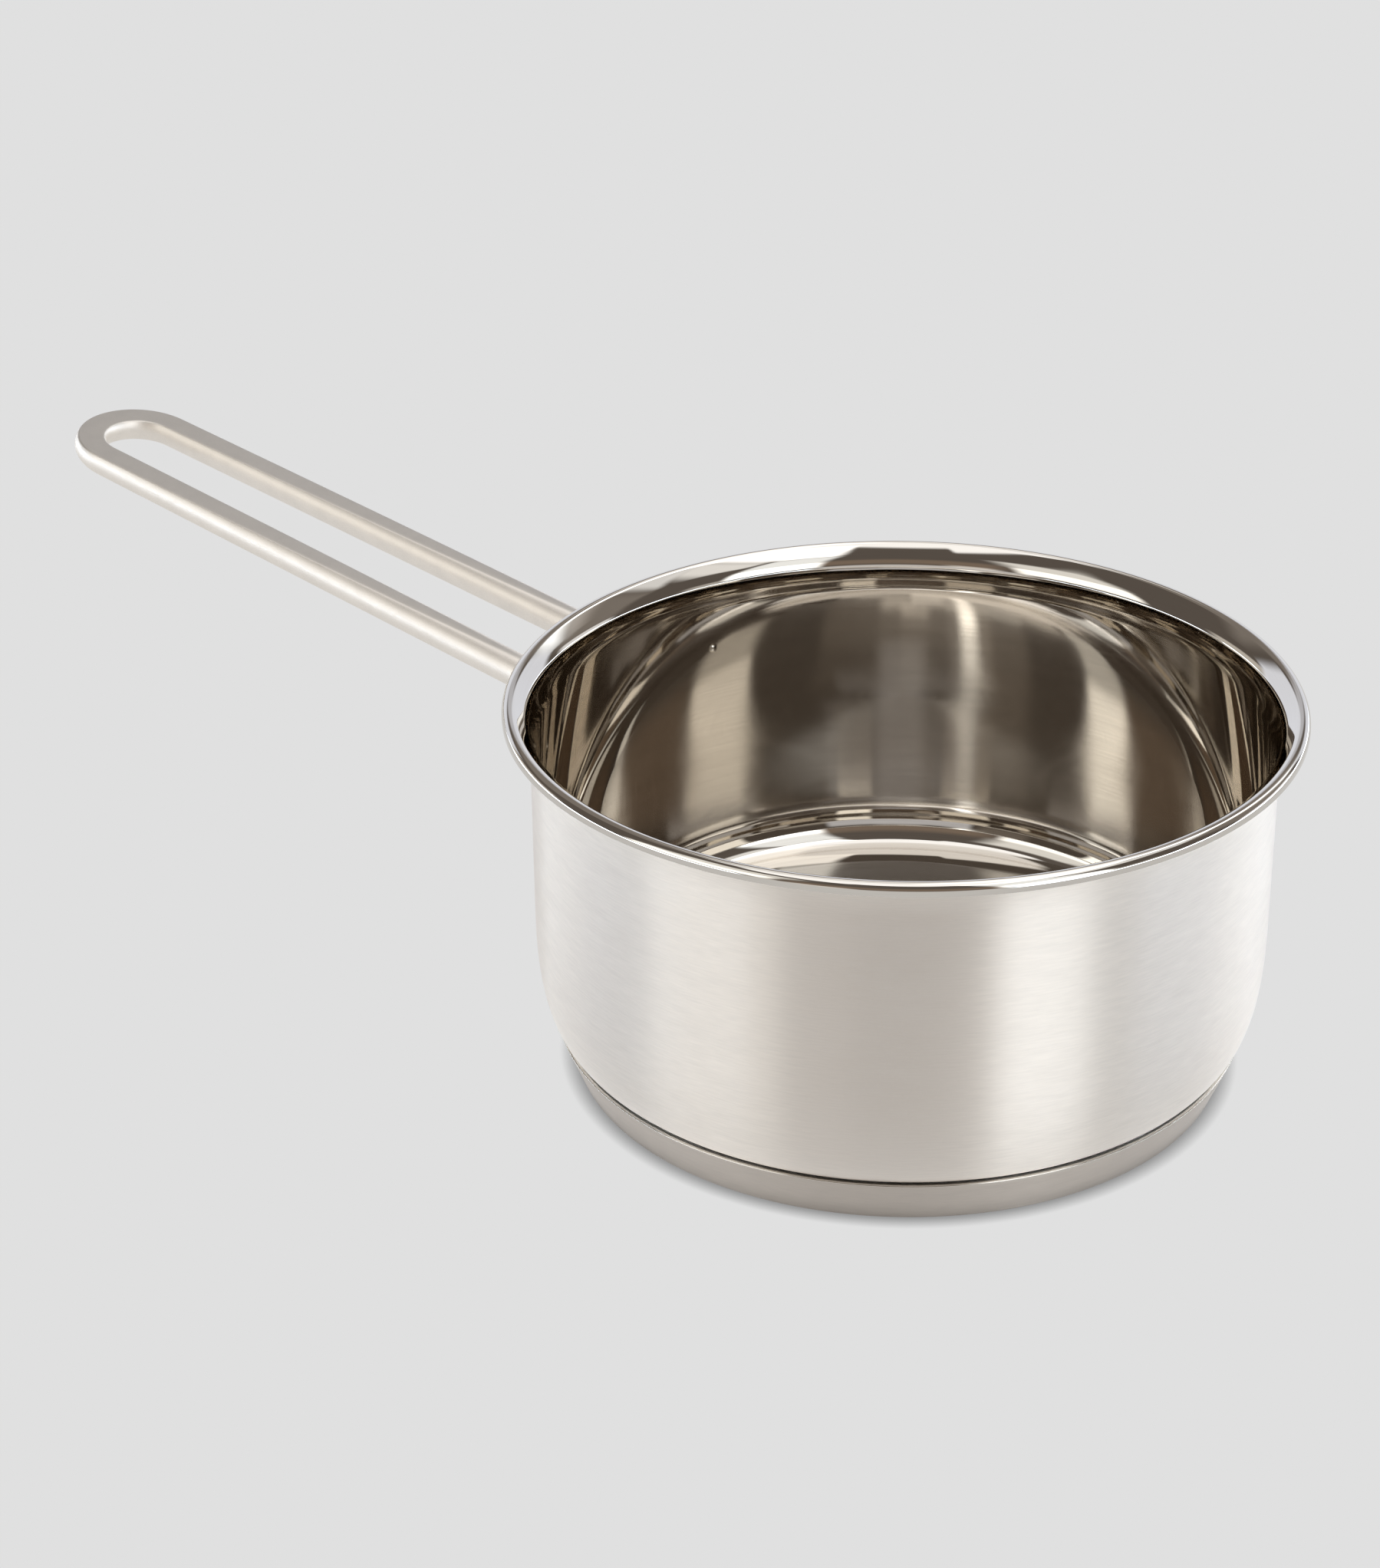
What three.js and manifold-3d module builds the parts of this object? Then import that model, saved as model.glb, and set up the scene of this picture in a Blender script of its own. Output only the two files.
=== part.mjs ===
// A small stainless-steel saucepan with a long loop handle bent from round rod.
// Millimetres, +Z up. The origin is the centre of the base's underside, and the handle points along +X.

import * as THREE from 'three';
import { mergeVertices } from 'three/addons/utils/BufferGeometryUtils.js';
import Module from 'manifold-3d';

const wasm = await Module();
wasm.setup();
const { Manifold, Mesh } = wasm;

// Vessel: a drawn sheet-steel shell
const innerRadius = 80;
const wallSheet = 0.8;
const floorSheet = 0.9;
const floorUnderside = 9.8;
const cornerWidth = 9;
const cornerTop = 38;
const cornerExponent = 2.6;
const cornerSteps = 10;

// Pouring rim: the wall flares out, then the edge curls down
const flareStart = 75.8;
const flareRadius = 13.5;
const flareEndSlope = THREE.MathUtils.degToRad(38);
const flareSteps = 7;
const crestRadius = 0.6;
const crestSteps = 2;
const curlWidth = 1.2;
const curlHeight = 2.75;
const curlSteps = 6;
const curlSheet = 0.8;

// Weld marks: a pip on the inner wall behind each end of the mounting plate
const pipRadius = 0.65;
const pipHeight = 0.25;
const pipRoot = 0.2;
const pipBelowPlateMiddle = 0.8;
const pipAngle = THREE.MathUtils.degToRad(23.3);
const pipSides = 16;
const pipRings = 8;

// Capsule base: a steel dish pressed round an aluminium disc, with a turned ledge under the vessel
const capInset = 4.2;
const capTaper = 4.1;
const capVesselGap = 0.26;
const capSheet = 0.8;
const capBottomFillet = 0.7;
const capFilletSteps = 3;
const capLedgeWidth = 1.3;
const capLedgeThickness = 0.5;
const capEdgeChamfer = 0.2;
const coreSideGap = 0.3;
const coreTopChamfer = 0.4;
const coreBottomChamfer = 0.6;

// Mounting plate: a curved strip on the wall under the rim
const plateThickness = 2;
const plateHeight = 15;
const plateBelowFlare = 1.3;
const plateHalfAngle = THREE.MathUtils.degToRad(27);
const plateCornerRadius = 5;
const plateWallGap = 0.3;
const plateSides = 120;

// Handle: one round rod bent into a loop, its top ground to a shallow flat
const rodRadius = 3.92;
const rodSides = 24;
const rodSteps = 112;
const handleRise = THREE.MathUtils.degToRad(9.7);
const handleAbovePlateMiddle = 1.5;
const handleLength = 163;
const legSpacingAtWall = 26.6;
const bendRadius = 11.95;
const flatClearanceAtWall = 0.17;
const flatDepthAtTip = 1.66;
const footGap = 0.3;

// Weld bead round each leg where it meets the plate
const beadWidth = 1.5;
const beadLength = 2.1;
const beadGap = 0.3;
const beadSides = 28;
const beadSteps = 4;

// Facets round the vessel, and how far a cutting tool runs past what it cuts
const turnedSides = 72;
const cutOverrun = 6;

// Sizes that follow from the ones above
const outerRadius = innerRadius + wallSheet;
const floorTop = floorUnderside + floorSheet;
const floorRadius = outerRadius - cornerWidth;
const capTopRadius = outerRadius - capInset;
const capBottomRadius = capTopRadius - capTaper;
const plateInnerRadius = outerRadius + plateWallGap;
const plateOuterRadius = plateInnerRadius + plateThickness;
const footRadius = plateOuterRadius + footGap;
const plateMiddle = flareStart - plateBelowFlare - plateHeight / 2;
const pipLevel = plateMiddle - pipBelowPlateMiddle;
const handleHeightAtWall = plateMiddle + handleAbovePlateMiddle;
const flatHeightAtWall = rodRadius + flatClearanceAtWall;
const flatHeightAtTip = rodRadius - flatDepthAtTip;
const quarterTurn = Math.PI / 2;

// Materials
const finishes = {
  satinSteel: { color: 0xc9c6bf, roughness: 0.34, metalness: 1 },
  capSteel: { color: 0xb9b4ab, roughness: 0.4, metalness: 1 },
  handleSteel: { color: 0xc4c1bb, roughness: 0.3, metalness: 1 },
  plateSteel: { color: 0xbfbcb6, roughness: 0.42, metalness: 1 },
  weldSteel: { color: 0x9d9890, roughness: 0.5, metalness: 1 },
  castAluminium: { color: 0xd4d6d8, roughness: 0.55, metalness: 1 },
};

function named(name, geometry, finish) {
  const mesh = new THREE.Mesh(geometry, new THREE.MeshStandardMaterial(finish));
  mesh.name = name;
  return mesh;
}

// Solids for joins and cuts
function toSolid(geometry) {
  const bare = geometry.clone();
  bare.deleteAttribute('normal');
  bare.deleteAttribute('uv');
  const merged = mergeVertices(bare);
  return new Manifold(new Mesh({
    numProp: 3,
    vertProperties: new Float32Array(merged.attributes.position.array),
    triVerts: new Uint32Array(merged.index.array),
  }));
}

function toGeometry(solid) {
  const mesh = solid.getMesh();
  const geometry = new THREE.BufferGeometry();
  geometry.setAttribute('position', new THREE.BufferAttribute(mesh.vertProperties, 3));
  geometry.setIndex(new THREE.BufferAttribute(mesh.triVerts, 1));
  geometry.computeVertexNormals();
  return geometry;
}

// Turned shapes: an outline of [radius, height] pairs spun about +Z
function turned(outline, sides) {
  const points = outline.map(([radius, height]) => new THREE.Vector2(radius, height));
  return new THREE.LatheGeometry(points, sides).rotateX(quarterTurn);
}

function arcPoints(centre, width, height, fromAngle, toAngle, steps) {
  return Array.from({ length: steps + 1 }, (_, i) => {
    const angle = fromAngle + (toAngle - fromAngle) * (i / steps);
    return [centre[0] + width * Math.cos(angle), centre[1] + height * Math.sin(angle)];
  });
}

// The soft corner between floor and wall is a quarter of a superellipse
function cornerPoints(width, height, foot) {
  const power = 2 / cornerExponent;
  return Array.from({ length: cornerSteps + 1 }, (_, i) => {
    const angle = quarterTurn * (i / cornerSteps);
    const out = width * Math.sin(angle) ** power;
    const down = height * Math.cos(angle) ** power;
    return [floorRadius + out, foot + height - down];
  });
}

// The flare is an arc about a centre outside the wall
function flarePoints(radius) {
  const centre = [innerRadius + flareRadius, flareStart];
  return arcPoints(centre, radius, radius, Math.PI, quarterTurn + flareEndSlope, flareSteps);
}

function vesselOutline() {
  const inside = cornerPoints(innerRadius - floorRadius, cornerTop - floorTop, floorTop);
  const outside = cornerPoints(cornerWidth, cornerTop - floorUnderside, floorUnderside);
  const flareTop = flarePoints(flareRadius);
  const flareUnder = flarePoints(flareRadius - wallSheet);
  const flareEnd = flareTop[flareTop.length - 1];
  const crestCentre = [
    flareEnd[0] + crestRadius * Math.sin(flareEndSlope),
    flareEnd[1] - crestRadius * Math.cos(flareEndSlope),
  ];
  const crest = arcPoints(crestCentre, crestRadius, crestRadius,
    quarterTurn + flareEndSlope, quarterTurn, crestSteps).slice(1, -1);
  const curlCentre = [crestCentre[0], crestCentre[1] + crestRadius - curlHeight];
  const curl = arcPoints(curlCentre, curlWidth, curlHeight, quarterTurn, 0, curlSteps);
  const hollow = [
    [curlCentre[0] + curlWidth - curlSheet, curlCentre[1]],
    [curlCentre[0] + curlWidth - curlSheet, curlCentre[1] + curlHeight / 3],
  ];
  return [
    [0, floorTop], ...inside, ...flareTop, ...crest, ...curl,
    ...hollow, ...flareUnder.reverse(), ...outside.reverse(), [0, floorUnderside],
  ];
}

function makePanBody() {
  let body = toSolid(turned(vesselOutline().reverse(), turnedSides));
  const pip = new THREE.SphereGeometry(1, pipSides, pipRings);
  pip.scale(pipHeight + pipRoot, pipRadius, pipRadius).translate(innerRadius + pipRoot, 0, pipLevel);
  for (const side of [-1, 1]) {
    body = body.add(toSolid(pip.clone().rotateZ(side * pipAngle)));
  }
  return named('pan_body', toGeometry(body), finishes.satinSteel);
}

// Height of the vessel's underside at a radius
function undersideHeight(radius) {
  const across = Math.max(radius - floorRadius, 0) / cornerWidth;
  const down = (1 - across ** cornerExponent) ** (1 / cornerExponent);
  return cornerTop - (cornerTop - floorUnderside) * down;
}

// The cap's ledge lies just under the vessel, and its side tapers down to the foot
const capHeight = undersideHeight(capTopRadius - capLedgeWidth) - capVesselGap;

function capSideRadius(height) {
  return capBottomRadius + (capTopRadius - capBottomRadius) * (height / capHeight);
}

function makeBaseCap() {
  const edgeStart = capHeight - capEdgeChamfer;
  const ledgeUnderside = capHeight - capLedgeThickness;
  const filletTop = capSheet + capBottomFillet;
  const outline = [
    [0, 0],
    ...arcPoints([capBottomRadius - capBottomFillet, capBottomFillet], capBottomFillet, capBottomFillet,
      -quarterTurn, 0, capFilletSteps),
    [capSideRadius(edgeStart), edgeStart],
    [capTopRadius - capEdgeChamfer, capHeight],
    [capTopRadius - capLedgeWidth, capHeight],
    [capTopRadius - capLedgeWidth, ledgeUnderside],
    [capSideRadius(ledgeUnderside) - capSheet, ledgeUnderside],
    [capSideRadius(filletTop) - capSheet, filletTop],
    [capSideRadius(filletTop) - capSheet - capBottomFillet, capSheet],
    [0, capSheet],
  ];
  return named('base_cap', turned(outline, turnedSides), finishes.capSteel);
}

function makeBaseCore() {
  const side = (height) => capSideRadius(height) - capSheet - coreSideGap;
  const chamferTop = capSheet + capBottomFillet + coreBottomChamfer;
  const outline = [
    [0, capSheet],
    [side(chamferTop) - capBottomFillet - coreBottomChamfer, capSheet],
    [side(chamferTop), chamferTop],
    [side(floorUnderside) - coreTopChamfer, floorUnderside - coreTopChamfer],
    [side(floorUnderside) - coreTopChamfer * 2, floorUnderside],
    [0, floorUnderside],
  ];
  return named('base_core', turned(outline, turnedSides), finishes.castAluminium);
}

function roundedRectangle(width, height, radius) {
  const shape = new THREE.Shape();
  shape.moveTo(-width / 2 + radius, -height / 2);
  shape.absarc(width / 2 - radius, -height / 2 + radius, radius, -quarterTurn, 0);
  shape.absarc(width / 2 - radius, height / 2 - radius, radius, 0, quarterTurn);
  shape.absarc(-width / 2 + radius, height / 2 - radius, radius, quarterTurn, Math.PI);
  shape.absarc(-width / 2 + radius, -height / 2 + radius, radius, Math.PI, Math.PI + quarterTurn);
  return shape;
}

// The plate is a sleeve round the wall, cut to a rounded strip seen from the handle's side
function makeMountingPlate() {
  const sleeve = turned([
    [plateInnerRadius, -plateHeight],
    [plateOuterRadius, -plateHeight],
    [plateOuterRadius, plateHeight],
    [plateInnerRadius, plateHeight],
    [plateInnerRadius, -plateHeight],
  ], plateSides);
  const width = 2 * plateOuterRadius * Math.sin(plateHalfAngle);
  const strip = new THREE.ExtrudeGeometry(roundedRectangle(width, plateHeight, plateCornerRadius),
    { depth: plateOuterRadius + cutOverrun, bevelEnabled: false, curveSegments: 6 });
  strip.rotateX(quarterTurn).rotateZ(quarterTurn);
  const plate = toSolid(sleeve).intersect(toSolid(strip));
  const geometry = toGeometry(plate).translate(0, 0, plateMiddle);
  return named('mounting_plate', geometry, finishes.plateSteel);
}

// The rod's centre line in the handle's own plane: x away from the wall, y across
const bendCentre = handleLength - rodRadius - bendRadius;
const legLean = Math.atan((legSpacingAtWall / 2 - bendRadius) / bendCentre);

class LoopPath extends THREE.Curve {
  constructor() {
    super();
    const bendStart = bendCentre + bendRadius * Math.sin(legLean);
    this.tangent = new THREE.Vector2(bendStart, bendRadius * Math.cos(legLean));
    this.foot = new THREE.Vector2(-cutOverrun, this.legSide(-cutOverrun));
    this.legLength = this.foot.distanceTo(this.tangent);
    this.bendLength = bendRadius * (Math.PI - 2 * legLean);
    this.arcLengthDivisions = rodSteps * 8;
  }

  // How far a leg's centre line lies from the middle, at a distance out from the wall
  legSide(out) {
    return this.tangent.y + (this.tangent.x - out) * Math.tan(legLean);
  }

  getPoint(t, target = new THREE.Vector3()) {
    const along = t * (2 * this.legLength + this.bendLength);
    const side = along < this.legLength + this.bendLength / 2 ? 1 : -1;
    const fromFoot = side > 0 ? along : 2 * this.legLength + this.bendLength - along;
    if (fromFoot <= this.legLength) {
      const p = this.foot.clone().lerp(this.tangent, fromFoot / this.legLength);
      return target.set(p.x, side * p.y, 0);
    }
    const angle = quarterTurn - legLean - (fromFoot - this.legLength) / bendRadius;
    return target.set(bendCentre + bendRadius * Math.cos(angle), side * bendRadius * Math.sin(angle), 0);
  }
}

const loopPath = new LoopPath();

// From the handle's own plane to its place on the pan
function placeOnWall(geometry) {
  return geometry.rotateY(-handleRise).translate(outerRadius, 0, handleHeightAtWall);
}

function circleShape(radius, sides) {
  const points = Array.from({ length: sides }, (_, i) => {
    const angle = (i / sides) * 2 * Math.PI;
    return new THREE.Vector2(radius * Math.cos(angle), radius * Math.sin(angle));
  });
  return new THREE.Shape(points);
}

// What the plate keeps clear: a tall cylinder that shapes the feet of the legs and beads
function plateCutter() {
  const cutter = new THREE.CylinderGeometry(footRadius, footRadius, 4 * plateHeight, plateSides);
  return toSolid(cutter.rotateX(quarterTurn).translate(0, 0, plateMiddle));
}

function makeHandleLoop() {
  const rod = new THREE.ExtrudeGeometry(circleShape(rodRadius, rodSides),
    { steps: rodSteps, extrudePath: loopPath });
  const flatSlope = Math.atan((flatHeightAtWall - flatHeightAtTip) / handleLength);
  const grindLength = handleLength + 2 * cutOverrun;
  const grind = new THREE.BoxGeometry(grindLength, legSpacingAtWall + 4 * cutOverrun, cutOverrun);
  grind.translate(grindLength / 2 - cutOverrun, 0, cutOverrun / 2);
  grind.rotateY(flatSlope).translate(0, 0, flatHeightAtWall);
  const loop = toSolid(placeOnWall(rod)).subtract(toSolid(placeOnWall(grind))).subtract(plateCutter());
  return named('handle_loop', toGeometry(loop), finishes.handleSteel);
}

// A fillet of weld round a leg's foot, on the leg's own line, with the plate's curve cut away
function makeLegWeld(name, side) {
  const bore = rodRadius + beadGap;
  const plateMeet = (footRadius - outerRadius) / Math.cos(handleRise);
  const fillet = arcPoints([bore + beadWidth, plateMeet + beadLength], beadWidth, beadLength,
    -quarterTurn, -Math.PI, beadSteps);
  const buried = plateMeet - cutOverrun;
  const outline = [[bore, buried], [bore + beadWidth, buried], ...fillet, [bore, buried]];
  const bead = turned(outline, beadSides).rotateY(quarterTurn).rotateZ(-side * legLean);
  bead.translate(0, side * loopPath.legSide(0), 0);
  const weld = toSolid(placeOnWall(bead)).subtract(plateCutter());
  return named(name, toGeometry(weld), finishes.weldSteel);
}

const group = new THREE.Group();
group.add(makePanBody());
group.add(makeBaseCore());
group.add(makeBaseCap());
group.add(makeMountingPlate());
group.add(makeHandleLoop());
group.add(makeLegWeld('left_leg_weld', 1));
group.add(makeLegWeld('right_leg_weld', -1));

export default group;
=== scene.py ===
# %% [markdown]
# # A steel saucepan with a loop handle
# A drawn steel vessel stands on a capsule base, and one bent rod makes its handle.
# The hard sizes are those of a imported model, the frame. This script dresses that frame:
# each visible piece is built again with a fine surface, and gets a finish made of nodes.
# Everything is in metres, +Z is up, the origin is under the base and the handle points along +X.

# %% Load the frame
import math
import bmesh
import bpy
from mathutils import Matrix, Vector


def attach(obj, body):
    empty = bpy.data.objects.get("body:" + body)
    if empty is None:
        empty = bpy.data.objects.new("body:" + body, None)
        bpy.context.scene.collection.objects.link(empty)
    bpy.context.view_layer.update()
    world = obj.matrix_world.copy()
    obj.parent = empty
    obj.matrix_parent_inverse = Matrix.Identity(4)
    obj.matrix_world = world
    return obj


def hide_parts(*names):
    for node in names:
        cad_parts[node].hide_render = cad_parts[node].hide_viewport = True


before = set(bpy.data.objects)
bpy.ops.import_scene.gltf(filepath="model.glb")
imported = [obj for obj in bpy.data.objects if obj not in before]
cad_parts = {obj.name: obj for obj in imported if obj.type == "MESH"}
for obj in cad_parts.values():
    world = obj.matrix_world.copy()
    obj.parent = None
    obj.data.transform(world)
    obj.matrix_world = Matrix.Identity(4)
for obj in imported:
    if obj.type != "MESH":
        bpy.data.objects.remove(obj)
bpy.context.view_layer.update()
mm = 0.001
quarter = math.pi / 2
print("CAD nodes:", sorted(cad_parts))


def add_object(name, data):
    """Puts a mesh or a camera into the scene as an object."""
    thing = bpy.data.objects.new(name, data)
    bpy.context.scene.collection.objects.link(thing)
    return thing


# %% [markdown]
# ## The camera
# The photograph was taken from about 27 degrees above the table, with a longish lens.
# The rim and the base draw two ellipses, and their shapes and places give the camera.
# The axes are worked out in a frame that looks straight at the pan, then turned about Z,
# because the handle points away to the left in the picture and along +X in the frame.
# Light bounces many times inside a polished vessel, so the scene allows many bounces.

# %% Camera
handle_bearing = math.radians(143.7)
camera_elevation, camera_roll = 0.467501, -0.009943  # in radians
# How far back, right and up the camera stands, along its own axes
camera_distance, camera_aside, camera_above = 802.56 * mm, -46.85 * mm, 57.75 * mm
picture_width, picture_height = 1799, 2044
focal_pixels = 4621.77
film_size = 36.0
most_bounces = 24

to_part_frame = Matrix.Rotation(-handle_bearing, 3, "Z")


def columns_matrix(*axes):
    """A turning matrix with these axes as its columns."""
    return Matrix(axes).transposed().to_4x4()


def camera_axes():
    """Right, up and backwards, as unit vectors of the part's frame."""
    sine, cosine = math.sin(camera_elevation), math.cos(camera_elevation)
    right, up, back = Vector((1, 0, 0)), Vector((0, sine, cosine)), Vector((0, -cosine, sine))
    rolled_right = right * math.cos(camera_roll) + up * math.sin(camera_roll)
    rolled_up = up * math.cos(camera_roll) - right * math.sin(camera_roll)
    return [to_part_frame @ axis for axis in (rolled_right, rolled_up, back)]


right_axis, up_axis, back_axis = camera_axes()
camera_data = bpy.data.cameras.new("photo_camera")
camera_data.sensor_width = film_size
camera_data.lens = focal_pixels * film_size / max(picture_width, picture_height)
camera = add_object("photo_camera", camera_data)
camera_place = back_axis * camera_distance + right_axis * camera_aside + up_axis * camera_above
camera.matrix_world = Matrix.Translation(camera_place) @ columns_matrix(right_axis, up_axis, back_axis)
bpy.context.scene.camera = camera
bpy.context.scene.view_settings.view_transform = "Standard"
bpy.context.scene.cycles.max_bounces = most_bounces
bpy.context.scene.cycles.glossy_bounces = most_bounces
print("camera at, mm:", [round(v / mm) for v in camera_place], "lens:", round(camera_data.lens, 1))

# %% [markdown]
# ## Helpers for node trees
# A material, a world and a geometry tree are all built the same way: nodes are added,
# their plain values are set and their sockets are joined. One small class keeps that short.
# A value that is a socket is joined, and any other value is written into the input.


# %% Node helper
class Tree:
    """Adds nodes to a tree: tree.add("ShaderNodeMath", {0: socket, 1: 2.0}, operation="POWER")."""

    def __init__(self, node_tree):
        self.tree = node_tree

    def add(self, kind, inputs=None, **settings):
        node = self.tree.nodes.new(kind)
        for name, value in settings.items():
            setattr(node, name, value)
        for key, value in (inputs or {}).items():
            if isinstance(value, bpy.types.NodeSocket):
                self.tree.links.new(value, node.inputs[key])
            else:
                node.inputs[key].default_value = value
        return node

    def math(self, operation, first, second=0.0, third=0.0):
        inputs = {0: first, 1: second, 2: third}
        return self.add("ShaderNodeMath", inputs, operation=operation).outputs[0]

    def vector(self, operation, first, second=(0.0, 0.0, 0.0)):
        node = self.add("ShaderNodeVectorMath", {0: first, 1: second}, operation=operation)
        return node.outputs["Value" if operation == "DOT_PRODUCT" else "Vector"]

    def scale(self, vector, factor):
        inputs = {0: vector, "Scale": factor}
        return self.add("ShaderNodeVectorMath", inputs, operation="SCALE").outputs[0]

    def blend(self, first, first_share, second, second_share):
        """The sum of two values, each times its share."""
        return self.math("ADD", self.math("MULTIPLY", first, first_share),
                         self.math("MULTIPLY", second, second_share))

    def remap(self, value, low, high, to_low, to_high, smooth=True):
        kind = "SMOOTHSTEP" if smooth else "LINEAR"
        inputs = {"Value": value, "From Min": low, "From Max": high, "To Min": to_low, "To Max": to_high}
        return self.add("ShaderNodeMapRange", inputs, interpolation_type=kind).outputs["Result"]


def empty_tree(owner):
    """Gives a world or a material a node tree with nothing in it."""
    owner.use_nodes = True
    owner.node_tree.nodes.clear()
    return Tree(owner.node_tree)


# %% [markdown]
# ## The studio
# Polished steel has hardly any colour of its own: it shows the room. So the room is made
# with care, from what the rim, the inner wall and the bottom of the real pan reflect. A
# wide pale window fills the middle of the far side, and a large soft light stands on each
# side, toward the viewer. A bright ceiling comes lower on the right, the room between them
# is dim, and the table's far edges shine low down. They are drawn in the world shader as
# soft-edged patches that add up, each with its bearing and its rise in degrees, how soft
# its edges are, and its colour. The camera sees an even pale backdrop in their place.

# %% World
backdrop = (0.7454, 0.7454, 0.7454, 1.0)
world = bpy.data.worlds.new("studio")
bpy.context.scene.world = world
sky = empty_tree(world)
ray_direction = sky.add("ShaderNodeTexCoord").outputs["Generated"]
turned = {"Vector": ray_direction, "Rotation": (0.0, 0.0, handle_bearing)}
toward = sky.add("ShaderNodeMapping", turned, vector_type="VECTOR").outputs[0]
side, away, height = sky.add("ShaderNodeSeparateXYZ", {0: toward}).outputs
bearing = sky.math("DEGREES", sky.math("ARCTAN2", side, away))
rise = sky.math("DEGREES", sky.math("ARCSINE", height))


def patch(bearings, rises, soft, colour, light):
    """Adds a soft-edged patch to the light. Bearing 0 is behind the pan, positive to the right."""
    mask = sky.remap(bearing, bearings[0] - soft[0], bearings[0] + soft[0], 0.0, 1.0)
    for value, place, edge, start, end in (
        (bearing, bearings[1], soft[0], 1.0, 0.0),
        (rise, rises[0], soft[1], 0.0, 1.0),
        (rise, rises[1], soft[1], 1.0, 0.0),
    ):
        mask = sky.math("MULTIPLY", mask, sky.remap(value, place - edge, place + edge, start, end))
    inputs = {0: mask, 1: colour, 2: light}
    return sky.add("ShaderNodeVectorMath", inputs, operation="MULTIPLY_ADD").outputs[0]


dim_room = (0.135, 0.115, 0.10)
room_patches = (
    # The window behind the pan, with a short dimmer strip above it
    ((-42, 47), (-8, 21), (3, 3), (0.80, 0.86, 0.98)),
    ((-12, 16), (21, 28), (6, 3), (0.50, 0.53, 0.60)),
    # A faint glow on the walls above the window and to its right
    ((-50, 60), (28, 58), (5, 4), (0.13, 0.12, 0.11)),
    ((52, 84), (13, 44), (5, 4), (0.13, 0.12, 0.11)),
    # The left and right soft lights, dimmer at the top
    ((-141, -98), (9, 34), (3, 3), (1.70, 1.70, 1.65)),
    ((-141, -98), (34, 56), (7, 4), (0.90, 0.90, 0.87)),
    ((126, 156), (8, 32), (3, 3), (2.60, 2.70, 2.75)),
    ((126, 156), (32, 59), (3, 3), (1.10, 1.15, 1.18)),
    # The room on the viewer's side, a little warmer
    ((150, 220), (14, 36), (8, 7), (0.12, 0.08, 0.05)),
    ((-220, -145), (14, 36), (8, 7), (0.12, 0.08, 0.05)),
    # The ceiling, lower and brighter toward the right
    ((-150, 152), (69, 100), (2, 1.5), (1.33, 1.35, 1.38)),
    ((152, 220), (73, 100), (2, 1.5), (1.33, 1.35, 1.38)),
    ((-220, -150), (73, 100), (2, 1.5), (1.33, 1.35, 1.38)),
    ((8, 152), (60, 69), (4, 1.5), (1.75, 1.78, 1.82)),
    ((8, 152), (69, 75), (4, 1.5), (0.50, 0.50, 0.50)),
    ((-52, -32), (64, 69), (4, 2), (1.10, 1.12, 1.14)),
    ((-32, -13), (57, 69), (6, 3), (1.00, 1.02, 1.04)),
    ((-13, 8), (44, 69), (5, 4), (0.90, 0.91, 0.92)),
    ((8, 30), (48, 60), (3, 3), (1.40, 1.43, 1.46)),
    ((1, 19), (38, 48), (4, 3), (0.65, 0.65, 0.65)),
    ((30, 84), (45, 60), (3, 2), (0.82, 0.84, 0.86)),
    ((84, 120), (50, 60), (4, 3), (0.95, 0.96, 0.96)),
    # A tall lamp on the far side, with its glow
    ((34, 56), (21, 46), (7, 4), (0.28, 0.29, 0.30)),
    ((40, 50), (22, 44), (4, 4), (1.30, 1.38, 1.46)),
    ((40, 50), (36, 64), (4, 6), (3.20, 3.35, 3.50)),
    # Pale things that stand round the table
    ((-70, -42), (2, 14), (4, 2), (0.52, 0.50, 0.46)),
    ((56, 82), (3, 12), (3, 2), (0.85, 0.87, 0.90)),
    ((-163, -148), (6, 15), (4, 3), (0.55, 0.53, 0.50)),
    ((112, 126), (0, 14), (4, 3), (0.40, 0.39, 0.37)),
    # The table's far edges, narrow and bright, and its near edge
    ((-133, -46), (-4, 2.5), (3, 1.5), (4.5, 5.0, 5.7)),
    ((-110, -42), (-4, 2.5), (8, 1.5), (3.0, 3.5, 4.1)),
    ((48, 154), (-4, 2.5), (3, 1.5), (4.5, 5.1, 5.8)),
    ((36, 112), (-4, 2.5), (8, 1.5), (4.2, 4.8, 5.6)),
    ((156, 220), (-8, 8), (3, 3), (0.60, 0.60, 0.60)),
    ((-220, -136), (-8, 8), (3, 3), (0.60, 0.60, 0.60)),
)
room_light = dim_room
for bearings, rises, soft, colour in room_patches:
    room_light = patch(bearings, rises, soft, colour, room_light)
camera_ray = sky.add("ShaderNodeLightPath").outputs["Is Camera Ray"]
mixed = {0: camera_ray, 6: room_light, 7: backdrop}  # the factor and the two colours
room_or_backdrop = sky.add("ShaderNodeMix", mixed, data_type="RGBA").outputs[2]
background = sky.add("ShaderNodeBackground", {"Color": room_or_backdrop, "Strength": 1.0})
sky.add("ShaderNodeOutputWorld", {"Surface": background.outputs[0]})
print("room patches:", len(room_patches), "world nodes:", len(world.node_tree.nodes))

# %% [markdown]
# ## The floor
# The picture's floor is one even pale grey with a tight, soft shadow round the base.
# The floor shows that grey to the camera and in the steel, and dims it where the pan
# stands close over it: ambient occlusion measures that over the last few millimetres.
# To other rays it is plain matt grey, and from below it isn't there at all.

# %% Floor
floor_half = 3.0
floor_drop = 0.05 * mm
shadow_reach, shadow_samples = 4.5 * mm, 24
most_hidden, least_hidden, darkest_shade = 0.32, 0.88, 0.42
matt_grey = (0.8, 0.8, 0.8, 1.0)

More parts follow.
